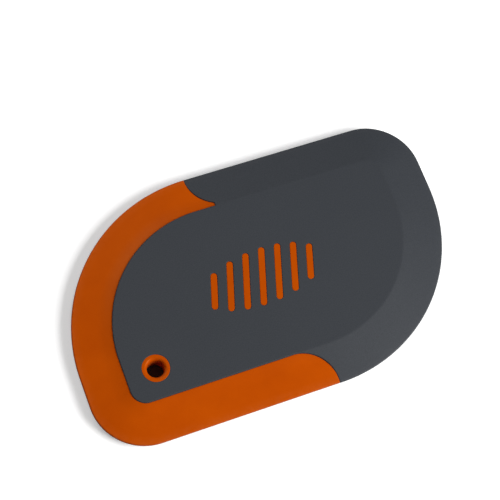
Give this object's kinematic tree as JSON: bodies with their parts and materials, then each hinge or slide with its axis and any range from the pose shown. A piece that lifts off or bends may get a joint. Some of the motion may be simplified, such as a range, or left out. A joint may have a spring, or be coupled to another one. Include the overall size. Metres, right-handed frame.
{
  "type": "pan scraper",
  "caption": "Flat rounded pan scraper with a thin stiff scraping margin, a thin soft wiping margin, a flat grip and a lanyard hole.",
  "frame": {"origin": "under the middle of the outline, on the flat back that the scraper rests on", "axes": "+Z out of the front face, +X along the length towards the soft end, +Y across the width"},
  "size_m": [0.112, 0.069, 0.0056],
  "materials": {
    "stiff_orange": "smooth moulded orange nylon, semi-matte",
    "soft_grey": "fine matte dark grey thermoplastic rubber"
  },
  "bodies": {
    "root": {"stiff_blade_plate": "stiff_orange", "soft_grip_overmould": "soft_grey"}
  },
  "joints": []
}
